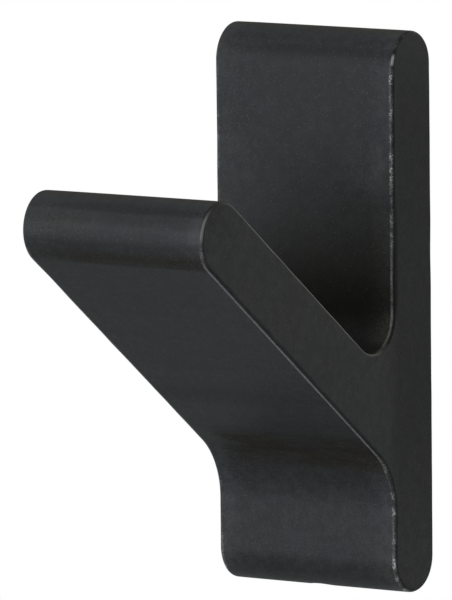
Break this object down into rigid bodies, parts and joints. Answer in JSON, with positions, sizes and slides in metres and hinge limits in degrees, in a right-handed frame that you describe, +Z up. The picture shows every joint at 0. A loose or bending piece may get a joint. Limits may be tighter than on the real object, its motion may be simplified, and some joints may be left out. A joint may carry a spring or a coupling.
{
  "type": "wall hook",
  "caption": "Single wall hook with a Y-shaped profile: round-ended back plate, upswept flat arm with a round nose, black silicone skin over a metal core, locked on a hidden wall cleat.",
  "frame": {"origin": "centre of the back face, on the wall plane and on the hook's middle plane", "axes": "+Y into the wall, +Z up along the back plate, +X across the hook to the right of someone facing the wall; the arm reaches out towards -Y"},
  "size_m": [0.03, 0.0585, 0.08],
  "materials": {
    "core_aluminium": "milled, bare inside the pocket",
    "black_silicone": "matte soft-touch black with a fine speckle",
    "cleat_zinc": "zinc-plated steel",
    "screw_black_oxide": "black oxide"
  },
  "bodies": {
    "hook": {"hook_core": "core_aluminium", "silicone_coating": "black_silicone", "wall_cleat": "cleat_zinc"},
    "set_screw": {"set_screw": "screw_black_oxide"}
  },
  "joints": [
    {"name": "set_screw_travel", "type": "slide", "parent": "hook", "child": "set_screw", "axis": [0, 0, 1], "range_m": [-0.0035, 0]}
  ]
}
